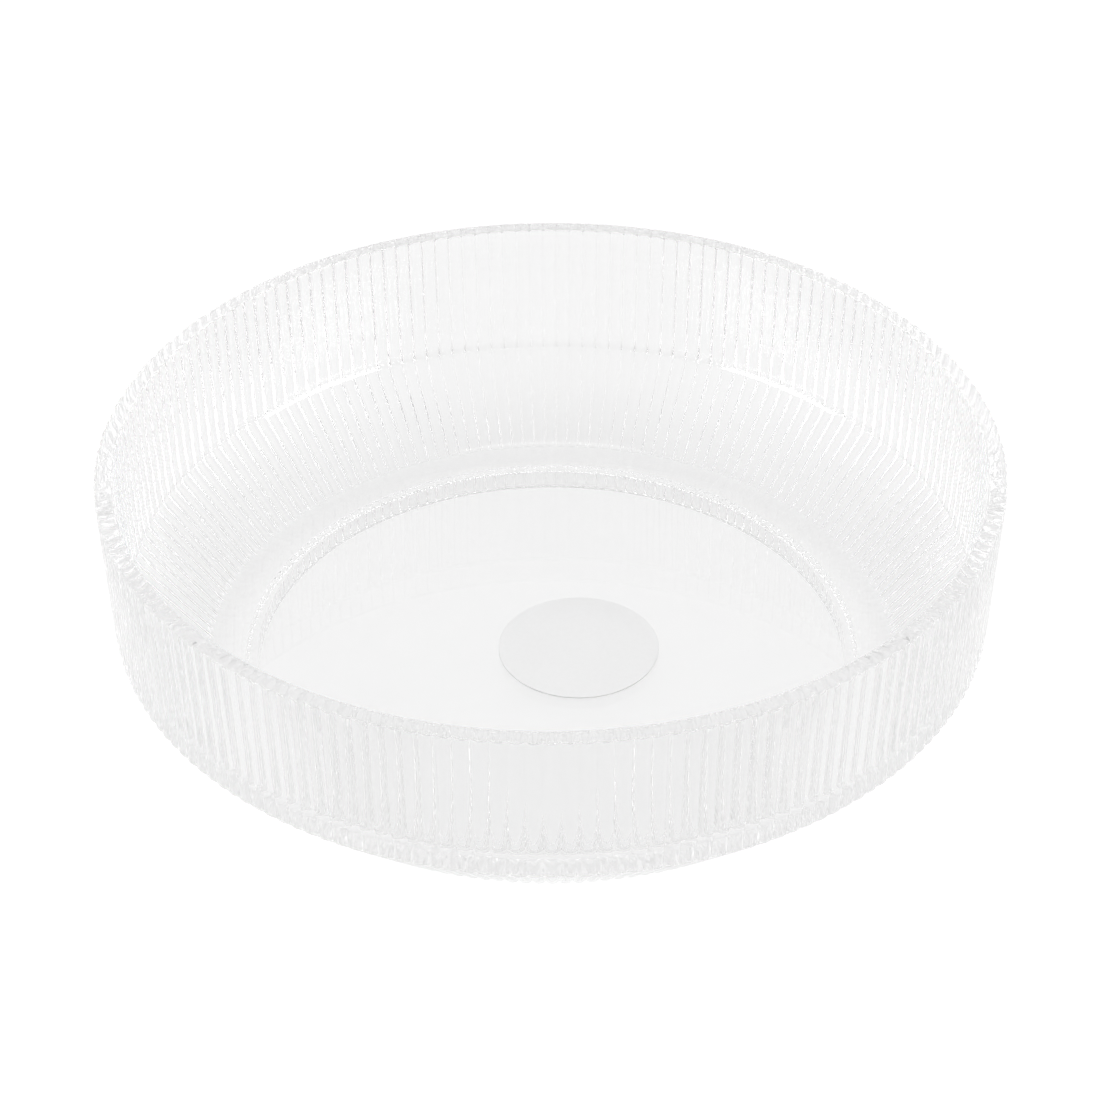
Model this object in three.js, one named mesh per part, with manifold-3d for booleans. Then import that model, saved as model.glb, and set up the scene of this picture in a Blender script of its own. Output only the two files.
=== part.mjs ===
// A round, clear, fluted vanity tray: a moulded bowl whose upright wall and sloping bevel are fluted
// outside and smooth inside, a fluted foot ring under its floor, and a plain round label on the floor.
// Millimetres, +Z up. The origin is the middle of the foot's underside, where the tray stands.
import * as THREE from 'three';
import { mergeVertices } from 'three/addons/utils/BufferGeometryUtils.js';
import Module from 'manifold-3d';

const wasm = await Module();
wasm.setup();

// Driving dimensions. Drafts and the bevel's two slopes are in degrees. The floor's edge is how far the
// flat underside reaches beyond the flat floor above it, and the foot's inset is measured in from there.
const CREST_RADIUS = 127.2;
const TOTAL_HEIGHT = 76;
const FOOT_HEIGHT = 6;
const FLOOR_THICKNESS = 3;
const LIP_WIDTH = 5.1;
const LIP_HEIGHT = 1.4;
const LIP_INSET = 0.3;
const WALL_DRAFT = 1.7;
const CAVITY_DRAFT = 1.9;
const CAVITY_SLOPE = 51;
const BEVEL_SLOPE = 46.2;
const BEVEL_HEIGHT = 26.5;
const FLOOR_EDGE = 2.6;
const OUTER_CORNER_ROUND = 1.2;
const INNER_CORNER_ROUND = 8;
const FLOOR_ROUND = 5;
const FLUTE_COUNT = 180;
const FLUTE_DEPTH = 0.65;
const BEVEL_FLUTE_DEPTH = 1.1;
const FOOT_INSET = 11.9;
const FOOT_WIDTH = 3.5;
const FOOT_FLUTE_COUNT = 168;
const FOOT_FLUTE_DEPTH = 0.6;
const LABEL_RADIUS = 23.5;
const LABEL_THICKNESS = 0.4;
const LABEL_X = 8;
const LABEL_Y = -6;

// Clearance between two pieces that rest on each other.
const SEAT_GAP = 0.3;

// How finely round shapes are divided: a flute is one valley and one crest.
const STEPS_PER_FLUTE = 2;
const ROUND_STEPS = 96;
const FILLET_STEPS = 3;

const radians = THREE.MathUtils.degToRad;

// The outline's corner points [radius, height, flute depth], with each corner that names a round
// replaced by a short arc. Points keep the corner's flute depth.
function roundedOutline(corners) {
  const outline = [];
  corners.forEach((corner, index) => {
    if (!corner.round) {
      outline.push(corner);
      return;
    }
    const here = new THREE.Vector2(corner.radius, corner.height);
    const before = corners[index - 1];
    const after = corners[index + 1];
    const toBefore = new THREE.Vector2(before.radius, before.height).sub(here);
    const toAfter = new THREE.Vector2(after.radius, after.height).sub(here);
    const halfAngle = Math.acos(toBefore.dot(toAfter) / toBefore.length() / toAfter.length()) / 2;
    const room = 0.45 * Math.min(toBefore.length(), toAfter.length());
    const tangent = Math.min(corner.round / Math.tan(halfAngle), room);
    const start = here.clone().add(toBefore.setLength(tangent));
    const end = here.clone().add(toAfter.setLength(tangent));
    const arc = new THREE.QuadraticBezierCurve(start, here, end);
    for (const point of arc.getPoints(FILLET_STEPS)) {
      outline.push({ radius: point.x, height: point.y, flute: corner.flute });
    }
  });
  return outline;
}

// A closed solid of revolution about Z. Where an outline point has a flute depth, the section is
// fluted: full radius on the crests, less by the depth in the valleys.
function turnedSolid(corners, steps, fluteCount = 0) {
  const outline = roundedOutline(corners);
  const points = outline.map((point) => new THREE.Vector2(point.radius, point.height));
  const geometry = new THREE.LatheGeometry(points, steps);
  const position = geometry.getAttribute('position');
  for (let i = 0; i < position.count; i++) {
    const point = outline[i % outline.length];
    if (!point.flute) continue;
    const angle = Math.atan2(position.getX(i), position.getZ(i));
    const valley = (1 - Math.cos(fluteCount * angle)) / 2;
    const scale = 1 - (point.flute * valley) / point.radius;
    position.setX(i, position.getX(i) * scale);
    position.setZ(i, position.getZ(i) * scale);
  }
  geometry.rotateX(Math.PI / 2);
  return solidOf(geometry);
}

function solidOf(geometry) {
  geometry.deleteAttribute('normal');
  geometry.deleteAttribute('uv');
  const merged = mergeVertices(geometry, 1e-4);
  return new wasm.Manifold(new wasm.Mesh({
    numProp: 3,
    vertProperties: merged.getAttribute('position').array,
    triVerts: new Uint32Array(merged.index.array),
  }));
}

function meshOf(name, solid, material) {
  const { vertProperties, triVerts } = solid.getMesh();
  const geometry = new THREE.BufferGeometry();
  geometry.setAttribute('position', new THREE.BufferAttribute(vertProperties, 3));
  geometry.setIndex(new THREE.BufferAttribute(triVerts, 1));
  geometry.computeVertexNormals();
  const mesh = new THREE.Mesh(geometry, material);
  mesh.name = name;
  return mesh;
}

// Heights and radii that the driving dimensions give.
const floorUnderside = FOOT_HEIGHT;
const floorTop = floorUnderside + FLOOR_THICKNESS;
const lipUnderside = TOTAL_HEIGHT - LIP_HEIGHT;
const bevelTop = floorTop + BEVEL_HEIGHT;
const mouthRadius = CREST_RADIUS - LIP_WIDTH;
const cavityWallRadius = mouthRadius - (TOTAL_HEIGHT - bevelTop) * Math.tan(radians(CAVITY_DRAFT));
const floorRadius = cavityWallRadius - BEVEL_HEIGHT / Math.tan(radians(CAVITY_SLOPE));

// The outside of the bevel rises at its own slope from the underside's edge until it meets the wall.
const bevelFootRadius = floorRadius + FLOOR_EDGE;
const wallTangent = Math.tan(radians(WALL_DRAFT));
const bevelTangent = Math.tan(radians(BEVEL_SLOPE));
const wallHeight = ((CREST_RADIUS - bevelFootRadius) * bevelTangent - (lipUnderside - floorUnderside))
  / (wallTangent * bevelTangent - 1);
const wallFootHeight = lipUnderside - wallHeight;
const wallFootRadius = CREST_RADIUS - wallHeight * wallTangent;
const footRadius = bevelFootRadius - FOOT_INSET;

const clearPlastic = new THREE.MeshStandardMaterial({ color: 0xf4f7f8, roughness: 0.05, metalness: 0 });
const labelFilm = new THREE.MeshStandardMaterial({ color: 0xf7f7f5, roughness: 0.45, metalness: 0 });

// The bowl: a fluted outer body, less its smooth cavity.
function trayBowl() {
  const body = turnedSolid([
    { radius: 0, height: floorUnderside },
    { radius: bevelFootRadius, height: floorUnderside, flute: BEVEL_FLUTE_DEPTH },
    { radius: wallFootRadius, height: wallFootHeight, flute: FLUTE_DEPTH, round: OUTER_CORNER_ROUND },
    { radius: CREST_RADIUS, height: lipUnderside, flute: FLUTE_DEPTH },
    { radius: CREST_RADIUS - LIP_INSET, height: lipUnderside },
    { radius: CREST_RADIUS - LIP_INSET, height: TOTAL_HEIGHT },
    { radius: 0, height: TOTAL_HEIGHT },
  ], FLUTE_COUNT * STEPS_PER_FLUTE, FLUTE_COUNT);
  const cavity = turnedSolid([
    { radius: 0, height: floorTop },
    { radius: floorRadius, height: floorTop, round: FLOOR_ROUND },
    { radius: cavityWallRadius, height: bevelTop, round: INNER_CORNER_ROUND },
    { radius: mouthRadius, height: TOTAL_HEIGHT },
    { radius: mouthRadius, height: TOTAL_HEIGHT + LIP_HEIGHT },
    { radius: 0, height: TOTAL_HEIGHT + LIP_HEIGHT },
  ], ROUND_STEPS);
  return meshOf('tray_bowl', body.subtract(cavity), clearPlastic);
}

// The foot: a narrow ring that the floor sits on, fluted outside and smooth inside.
function footRing() {
  const top = floorUnderside - SEAT_GAP;
  const disc = turnedSolid([
    { radius: 0, height: 0 },
    { radius: footRadius, height: 0, flute: FOOT_FLUTE_DEPTH },
    { radius: footRadius, height: top, flute: FOOT_FLUTE_DEPTH },
    { radius: 0, height: top },
  ], FOOT_FLUTE_COUNT * STEPS_PER_FLUTE, FOOT_FLUTE_COUNT);
  const hole = turnedSolid([
    { radius: 0, height: -FOOT_HEIGHT },
    { radius: footRadius - FOOT_WIDTH, height: -FOOT_HEIGHT },
    { radius: footRadius - FOOT_WIDTH, height: TOTAL_HEIGHT },
    { radius: 0, height: TOTAL_HEIGHT },
  ], ROUND_STEPS);
  return meshOf('foot_ring', disc.subtract(hole), clearPlastic);
}

// The label: a plain round disc of film lying on the floor, a little off the middle.
function roundLabel() {
  const bottom = floorTop + SEAT_GAP;
  const disc = turnedSolid([
    { radius: 0, height: bottom },
    { radius: LABEL_RADIUS, height: bottom },
    { radius: LABEL_RADIUS, height: bottom + LABEL_THICKNESS },
    { radius: 0, height: bottom + LABEL_THICKNESS },
  ], ROUND_STEPS);
  const label = meshOf('round_label', disc, labelFilm);
  label.position.set(LABEL_X, LABEL_Y, 0);
  return label;
}

const tray = new THREE.Group();
tray.name = 'vanity_tray';
tray.add(trayBowl(), footRing(), roundLabel());

export default tray;
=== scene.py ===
import math

import bmesh
import bpy
import numpy as np
from mathutils import Matrix, Vector


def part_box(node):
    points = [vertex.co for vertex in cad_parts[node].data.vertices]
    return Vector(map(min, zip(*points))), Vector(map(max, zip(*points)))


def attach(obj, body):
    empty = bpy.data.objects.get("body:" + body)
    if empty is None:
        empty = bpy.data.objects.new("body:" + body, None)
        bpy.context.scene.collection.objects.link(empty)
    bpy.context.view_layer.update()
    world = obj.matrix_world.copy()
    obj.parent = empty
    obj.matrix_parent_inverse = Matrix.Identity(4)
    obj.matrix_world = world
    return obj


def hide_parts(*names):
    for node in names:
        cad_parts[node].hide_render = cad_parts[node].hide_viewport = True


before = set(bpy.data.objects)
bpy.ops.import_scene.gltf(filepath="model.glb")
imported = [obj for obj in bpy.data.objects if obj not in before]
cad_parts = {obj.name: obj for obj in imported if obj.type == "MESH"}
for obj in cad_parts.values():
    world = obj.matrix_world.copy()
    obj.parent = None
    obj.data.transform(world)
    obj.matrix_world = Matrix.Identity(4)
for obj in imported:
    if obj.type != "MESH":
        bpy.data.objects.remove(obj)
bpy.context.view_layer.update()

# A round, clear, fluted vanity tray: the moulding with its foot ring, and a plain round label.
# Metres, +Z up, in the CAD frame. What the CAD fixes is read from it; the rest is named here.
MM = 0.001
TURN = 2 * math.pi

bowl_low, bowl_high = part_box("tray_bowl")
ring_low, ring_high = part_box("foot_ring")
label_low, label_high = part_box("round_label")

CREST_RADIUS = bowl_high.x
RIM_HEIGHT = bowl_high.z
UNDERSIDE = bowl_low.z
FOOT_RADIUS = ring_high.x
FLOOR_TOP = label_low.z - (UNDERSIDE - ring_high.z)

# The moulding's own sizes. Drafts and the two slopes of the bevel are in degrees.
LIP_WIDTH = 5.1 * MM
WALL_DRAFT = 1.7
CAVITY_DRAFT = 1.9
CAVITY_SLOPE = 51
BEVEL_SLOPE = 46.2
BEVEL_HEIGHT = 25.7 * MM
FLOOR_EDGE = 2.6 * MM
FOOT_WIDTH = 3.5 * MM

# Rounds at the corners of the outline.
INNER_CORNER_ROUND = 8 * MM
FLOOR_ROUND = 5 * MM
OUTER_CORNER_ROUND = 1.2 * MM
BEVEL_FOOT_ROUND = 1.5 * MM
RIM_ROUND = 0.5 * MM
FOOT_ROUND = 0.4 * MM
LABEL_ROUND = 0.12 * MM

# The reeds outside: counts round the tray, depths, and how far below the rim they are whole.
FLUTE_COUNT = 180
FLUTE_DEPTH = 0.65 * MM
BEVEL_FLUTE_DEPTH = 1.1 * MM
FLUTE_TOP = 0.9 * MM
FOOT_FLUTE_COUNT = 168
FOOT_FLUTE_DEPTH = 0.6 * MM

# How finely the surfaces are divided.
STEPS_PER_FLUTE = 10
LABEL_COUNT = 12
FILLET_STEPS = 7
CORNER_STEPS = 4
SHARP_EDGE = 30

# Clear plastic: how much light each surface and each metre of it lets through.
PLASTIC_IOR = 1.5
TINT_LOW = 0.92
TINT_HIGH = 0.94
ROUGHEST = 0.02
ABSORPTION = 0.5

# The studio: a pale lit table with a faint painted shade in its glow round the foot, a bright tent that is
# dimmer towards the camera and low down, and softboxes above and at each side.
TABLE_SIZE = 6.0
TABLE_DROP = 0.05 * MM
TABLE_ALBEDO = 0.1
TABLE_GLOW = 0.92
# Painted shade on the table's glow: how deep it is, how soft its edge is at the foot, how far past the rim
# it fades, and the change in glow left far out.
TABLE_SHADE = 0.08
SHADE_BLUR = 14 * MM
SHADE_REACH = 40 * MM
OUTER_GLOW = -0.02
SURROUND_GLOW = 1.0
TENT_LIGHT = 0.95
TENT_DIM = 0.2
TENT_DIM_FROM, TENT_DIM_TO = -0.85, -0.45
HORIZON_DIM = 0.8
HORIZON_TOP = 0.35
TOP_PLACE, TOP_SIZE, TOP_LIGHT = (0, 0, 1.5), (0.6, 0.6), 1.4
SIDE_OUT, SIDE_FRONT, SIDE_UP = 1.39, -0.57, 0.38
SIDE_SIZE, SIDE_LIGHT = (0.97, 0.6), 10.0
AIM = (0, 0, 0.03)

# The camera: distance from the middle of the rim, its direction, and its lens. Angles in degrees.
EYE_DISTANCE = 0.762
EYE_ELEVATION = 34.37
EYE_PITCH = 36.52
EYE_ROLL = -0.29
SENSOR_WIDTH = 36
LENS = 88.85
SHIFT_X = -0.0008
BOUNCES = 80


def corner_arc(before, corner, after, radius, steps):
    """Points of the round that replaces a corner of an outline, from one tangent point to the other."""
    here = Vector(corner)
    to_before = (Vector(before) - here).normalized()
    to_after = (Vector(after) - here).normalized()
    half = to_before.angle(to_after) / 2
    middle = here + (to_before + to_after).normalized() * (radius / math.sin(half))
    start = here + to_before * (radius / math.tan(half))
    end = here + to_after * (radius / math.tan(half))
    first = math.atan2(start.y - middle.y, start.x - middle.x)
    sweep = math.remainder(math.atan2(end.y - middle.y, end.x - middle.x) - first, TURN)
    angles = [first + sweep * i / steps for i in range(steps + 1)]
    return [(middle.x + radius * math.cos(a), middle.y + radius * math.sin(a)) for a in angles]


def reed_fall(angles, count, depth, radius):
    """How far a round reed's surface lies below its crest at these angles."""
    half_pitch = math.pi * radius / count
    bulge = (half_pitch ** 2 + depth ** 2) / (2 * depth)
    across = ((angles * count / TURN + 0.5) % 1 - 0.5) * 2 * half_pitch
    return bulge - np.sqrt(bulge ** 2 - across ** 2)


class Skin:
    """A closed surface of revolution, grown row by row from a first point on the axis."""

    def __init__(self, name):
        self.name = name
        self.points = []
        self.faces = []
        self.last = None

    def row(self, radius, height, count, depth=0.0):
        """One ring of points, with this many reeds of this depth round it, joined to the row before."""
        steps = count * STEPS_PER_FLUTE
        angles = np.arange(steps) * TURN / steps
        radii = np.full(steps, radius)
        if depth:
            radii = radii - reed_fall(angles, count, depth, radius)
        self.add([(r * math.sin(angle), -r * math.cos(angle), height) for angle, r in zip(angles, radii)])

    def rows(self, outline, count, depth=0.0):
        for radius, height in outline:
            self.row(radius, height, count, depth)

    def tip(self, height):
        """The point on the axis where the surface starts or ends."""
        self.add([(0.0, 0.0, height)])

    def add(self, points):
        ring = list(range(len(self.points), len(self.points) + len(points)))
        self.points += points
        if self.last is not None:
            self.join(self.last, ring)
        self.last = ring

    def join(self, a, b):
        """Faces between two rows: quads where their counts match, otherwise triangles by angle."""
        if len(a) == len(b):
            for i, j in zip(range(len(a)), [*range(1, len(a)), 0]):
                self.faces.append((a[i], a[j], b[j], b[i]))
            return
        i = j = 0
        while i < len(a) or j < len(b):
            step_a = (i + 1) / len(a) if len(a) > 1 else 2
            step_b = (j + 1) / len(b) if len(b) > 1 else 2
            if step_a <= step_b:
                self.faces.append((a[i], a[(i + 1) % len(a)], b[j % len(b)]))
                i += 1
            else:
                self.faces.append((b[(j + 1) % len(b)], b[j], a[i % len(a)]))
                j += 1
            if (i >= len(a) or len(a) == 1) and (j >= len(b) or len(b) == 1):
                break

    def object(self):
        mesh = bpy.data.meshes.new(self.name)
        mesh.from_pydata(self.points, [], self.faces)
        mesh.validate()
        work = bmesh.new()
        work.from_mesh(mesh)
        bmesh.ops.recalc_face_normals(work, faces=work.faces)
        work.to_mesh(mesh)
        work.free()
        for face in mesh.polygons:
            face.use_smooth = True
        mesh.set_sharp_from_angle(angle=math.radians(SHARP_EDGE))
        made = bpy.data.objects.new(self.name, mesh)
        bpy.context.scene.collection.objects.link(made)
        return made


def slope(degrees):
    return math.tan(math.radians(degrees))


def tray_moulding():
    """The clear moulding, smooth inside and reeded outside: floor, bevel, wall, rim and foot ring."""
    bevel_top = FLOOR_TOP + BEVEL_HEIGHT
    mouth_radius = CREST_RADIUS - LIP_WIDTH
    cavity_radius = mouth_radius - (RIM_HEIGHT - bevel_top) * slope(CAVITY_DRAFT)
    floor_radius = cavity_radius - BEVEL_HEIGHT / slope(CAVITY_SLOPE)
    bevel_foot_radius = floor_radius + FLOOR_EDGE
    crest_top = RIM_HEIGHT - FLUTE_TOP
    wall_height = (((CREST_RADIUS - bevel_foot_radius) * slope(BEVEL_SLOPE) - (crest_top - UNDERSIDE))
                   / (slope(WALL_DRAFT) * slope(BEVEL_SLOPE) - 1))

    centre = (0.0, FLOOR_TOP)
    floor_edge = (floor_radius, FLOOR_TOP)
    inner_corner = (cavity_radius, bevel_top)
    mouth = (mouth_radius, RIM_HEIGHT)
    rim_edge = (CREST_RADIUS, RIM_HEIGHT)
    wall_foot = (CREST_RADIUS - wall_height * slope(WALL_DRAFT), crest_top - wall_height)
    bevel_foot = (bevel_foot_radius, UNDERSIDE)
    underside = (0.0, UNDERSIDE)

    skin = Skin("tray_moulding")
    skin.tip(FLOOR_TOP)
    skin.rows(corner_arc(centre, floor_edge, inner_corner, FLOOR_ROUND, FILLET_STEPS), FLUTE_COUNT)
    skin.rows(corner_arc(floor_edge, inner_corner, mouth, INNER_CORNER_ROUND, FILLET_STEPS), FLUTE_COUNT)
    skin.rows(corner_arc(inner_corner, mouth, rim_edge, RIM_ROUND, CORNER_STEPS), FLUTE_COUNT)
    rim_round = corner_arc(mouth, rim_edge, wall_foot, RIM_ROUND, CORNER_STEPS)
    for i, (radius, height) in enumerate(rim_round):
        skin.row(radius, height, FLUTE_COUNT, FLUTE_DEPTH * i / CORNER_STEPS)
    skin.row(CREST_RADIUS, crest_top, FLUTE_COUNT, FLUTE_DEPTH)
    wall_round = corner_arc(rim_edge, wall_foot, bevel_foot, OUTER_CORNER_ROUND, CORNER_STEPS)
    skin.rows(wall_round, FLUTE_COUNT, FLUTE_DEPTH)
    foot_round = corner_arc(wall_foot, bevel_foot, underside, BEVEL_FOOT_ROUND, CORNER_STEPS)
    skin.rows(foot_round, FLUTE_COUNT, BEVEL_FLUTE_DEPTH)
    foot_ring_rows(skin)
    skin.tip(UNDERSIDE)
    return skin.object()


def foot_ring_rows(skin):
    """The foot ring's outside, underside and inside, down from the floor's underside and back up to it."""
    inner = FOOT_RADIUS - FOOT_WIDTH
    count, depth = FOOT_FLUTE_COUNT, FOOT_FLUTE_DEPTH
    outer_top, outer_edge = (FOOT_RADIUS, UNDERSIDE), (FOOT_RADIUS, 0)
    inner_edge, inner_top = (inner, 0), (inner, UNDERSIDE)
    skin.row(*outer_top, count, depth)
    skin.rows(corner_arc(outer_top, outer_edge, inner_edge, FOOT_ROUND, CORNER_STEPS), count, depth)
    skin.rows(corner_arc(outer_edge, inner_edge, inner_top, FOOT_ROUND, CORNER_STEPS), count)
    skin.row(*inner_top, count)


def label_disc():
    """The round label, with its edge rounded over."""
    radius = (label_high.x - label_low.x) / 2
    centre = (label_low + label_high) / 2
    top, bottom = label_high.z, label_low.z
    skin = Skin("label_disc")
    skin.tip(top)
    skin.row(radius * 0.5, top, LABEL_COUNT)
    upper, lower = (radius, top), (radius, bottom)
    skin.rows(corner_arc((0, top), upper, lower, LABEL_ROUND, CORNER_STEPS), LABEL_COUNT)
    skin.rows(corner_arc(upper, lower, (0, bottom), LABEL_ROUND, CORNER_STEPS), LABEL_COUNT)
    skin.tip(bottom)
    disc = skin.object()
    disc.data.transform(Matrix.Translation((centre.x, centre.y, 0)))
    return disc


def grey(level):
    return (level, level, level, 1)


def new_material(name):
    """A material with its nodes, its links and its main shader."""
    material = bpy.data.materials.new(name)
    material.use_nodes = True
    tree = material.node_tree
    return material, tree.nodes, tree.links, tree.nodes["Principled BSDF"]


def noise(nodes, links, scale, detail):
    place = nodes.new("ShaderNodeTexCoord")
    made = nodes.new("ShaderNodeTexNoise")
    made.inputs["Scale"].default_value = scale
    made.inputs["Detail"].default_value = detail
    links.new(place.outputs["Object"], made.inputs["Vector"])
    return made


def blend_greys(nodes, links, factor, low, high):
    made = nodes.new("ShaderNodeMix")
    made.data_type = "RGBA"
    made.inputs["A"].default_value = grey(low)
    made.inputs["B"].default_value = grey(high)
    links.new(factor, made.inputs["Factor"])
    return made.outputs["Result"]


def ramp(nodes, links, value, start, end, low, high):
    """A smooth step from one level to another as the value goes from start to end."""
    made = nodes.new("ShaderNodeMapRange")
    made.interpolation_type = "SMOOTHSTEP"
    made.inputs["From Min"].default_value = start
    made.inputs["From Max"].default_value = end
    made.inputs["To Min"].default_value = low
    made.inputs["To Max"].default_value = high
    links.new(value, made.inputs["Value"])
    return made.outputs["Result"]


def combine(nodes, links, operation, first, second):
    made = nodes.new("ShaderNodeMath")
    made.operation = operation
    links.new(first, made.inputs[0])
    links.new(second, made.inputs[1])
    return made.outputs["Value"]


def clear_plastic():
    """Clear moulded plastic: refracts, hardly tinted, with the faint unevenness of a moulded skin."""
    material, nodes, links, shader = new_material("clear_plastic")
    shader.inputs["Transmission Weight"].default_value = 1.0
    shader.inputs["IOR"].default_value = PLASTIC_IOR
    mottle = noise(nodes, links, 60, 3)
    rough = nodes.new("ShaderNodeMapRange")
    rough.inputs["To Min"].default_value = 0.0
    rough.inputs["To Max"].default_value = ROUGHEST
    links.new(mottle.outputs["Fac"], rough.inputs["Value"])
    links.new(rough.outputs["Result"], shader.inputs["Roughness"])
    tint = blend_greys(nodes, links, mottle.outputs["Fac"], TINT_LOW, TINT_HIGH)
    links.new(tint, shader.inputs["Base Color"])
    body = nodes.new("ShaderNodeVolumeAbsorption")
    body.inputs["Color"].default_value = grey(0.0)
    body.inputs["Density"].default_value = ABSORPTION
    links.new(body.outputs["Volume"], nodes["Material Output"].inputs["Volume"])
    return material


def label_film():
    """Plain white satin film with a faint paper grain."""
    material, nodes, links, shader = new_material("label_film")
    shader.inputs["Roughness"].default_value = 0.45
    grain = noise(nodes, links, 900, 4)
    white = blend_greys(nodes, links, grain.outputs["Fac"], 0.90, 0.94)
    links.new(white, shader.inputs["Base Color"])
    bump = nodes.new("ShaderNodeBump")
    bump.inputs["Strength"].default_value = 0.15
    bump.inputs["Distance"].default_value = 0.05 * MM
    links.new(grain.outputs["Fac"], bump.inputs["Height"])
    links.new(bump.outputs["Normal"], shader.inputs["Normal"])
    return material


def table_white():
    """A pale glowing table, with a painted shade in its glow under the bevel. Seen directly it is burnt
    out to white.
    """
    material, nodes, links, shader = new_material("table_white")
    shader.inputs["Base Color"].default_value = grey(TABLE_ALBEDO)
    shader.inputs["Roughness"].default_value = 1.0
    shader.inputs["Specular IOR Level"].default_value = 0.0
    shader.inputs["Emission Color"].default_value = grey(1)
    place = nodes.new("ShaderNodeTexCoord")
    length = nodes.new("ShaderNodeVectorMath")
    length.operation = "LENGTH"
    links.new(place.outputs["Object"], length.inputs[0])
    reach = length.outputs["Value"]
    # Painted shade: the glow is lowered in a ring from the foot ring outward, standing in for the tray's
    # shadow, and raised again past the rim so that it fades out.
    shade = ramp(nodes, links, reach, FOOT_RADIUS, FOOT_RADIUS + SHADE_BLUR, 0.0, TABLE_SHADE)
    light = ramp(nodes, links, reach, CREST_RADIUS - SHADE_BLUR, CREST_RADIUS + SHADE_REACH,
                 TABLE_GLOW, TABLE_GLOW + TABLE_SHADE + OUTER_GLOW)
    path = nodes.new("ShaderNodeLightPath")
    surround = nodes.new("ShaderNodeMix")
    surround.inputs["B"].default_value = SURROUND_GLOW
    links.new(path.outputs["Is Camera Ray"], surround.inputs["Factor"])
    links.new(combine(nodes, links, "SUBTRACT", light, shade), surround.inputs["A"])
    links.new(surround.outputs["Result"], shader.inputs["Emission Strength"])
    return material


def table_top():
    half = TABLE_SIZE / 2
    corners = [(-half, -half), (half, -half), (half, half), (-half, half)]
    mesh = bpy.data.meshes.new("table_top")
    mesh.from_pydata([(x, y, -TABLE_DROP) for x, y in corners], [], [(0, 1, 2, 3)])
    table = bpy.data.objects.new("table_top", mesh)
    bpy.context.scene.collection.objects.link(table)
    mesh.materials.append(table_white())


def tent():
    world = bpy.data.worlds.new("tent")
    bpy.context.scene.world = world
    world.use_nodes = True
    nodes, links = world.node_tree.nodes, world.node_tree.links
    place = nodes.new("ShaderNodeTexCoord")
    axes = nodes.new("ShaderNodeSeparateXYZ")
    links.new(place.outputs["Generated"], axes.inputs["Vector"])
    front = ramp(nodes, links, axes.outputs["Y"], TENT_DIM_FROM, TENT_DIM_TO, TENT_DIM, TENT_LIGHT)
    horizon = ramp(nodes, links, axes.outputs["Z"], 0.0, HORIZON_TOP, HORIZON_DIM, 1.0)
    nodes["Background"].inputs["Color"].default_value = grey(1)
    links.new(combine(nodes, links, "MULTIPLY", front, horizon), nodes["Background"].inputs["Strength"])


def softbox(name, place, size, power):
    lamp = bpy.data.lights.new(name, "AREA")
    lamp.shape = "RECTANGLE"
    lamp.size, lamp.size_y = size
    lamp.energy = power
    box = bpy.data.objects.new(name, lamp)
    box.location = place
    box.rotation_euler = (Vector(AIM) - Vector(place)).to_track_quat("-Z", "Y").to_euler()
    bpy.context.scene.collection.objects.link(box)


def camera():
    lens = bpy.data.cameras.new("camera")
    eye = bpy.data.objects.new("camera", lens)
    bpy.context.scene.collection.objects.link(eye)
    elevation = math.radians(EYE_ELEVATION)
    eye.location = (0, -EYE_DISTANCE * math.cos(elevation),
                    RIM_HEIGHT + EYE_DISTANCE * math.sin(elevation))
    pitch = Matrix.Rotation(math.radians(90 - EYE_PITCH), 3, "X")
    eye.rotation_euler = (pitch @ Matrix.Rotation(math.radians(EYE_ROLL), 3, "Z")).to_euler()
    lens.sensor_width = SENSOR_WIDTH
    lens.lens = LENS
    lens.shift_x = SHIFT_X
    bpy.context.scene.camera = eye


moulding = tray_moulding()
moulding.data.materials.append(clear_plastic())
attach(moulding, "root")
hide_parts("tray_bowl", "foot_ring")

label = label_disc()
label.data.materials.append(label_film())
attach(label, "root")
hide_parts("round_label")

table_top()
tent()
softbox("top_box", TOP_PLACE, TOP_SIZE, TOP_LIGHT)
softbox("left_box", (-SIDE_OUT, SIDE_FRONT, SIDE_UP), SIDE_SIZE, SIDE_LIGHT)
softbox("right_box", (SIDE_OUT, SIDE_FRONT, SIDE_UP), SIDE_SIZE, SIDE_LIGHT)
camera()

scene = bpy.context.scene
scene.view_settings.view_transform = "Standard"
scene.view_settings.look = "None"
scene.cycles.max_bounces = BOUNCES
scene.cycles.transmission_bounces = BOUNCES
scene.cycles.glossy_bounces = BOUNCES
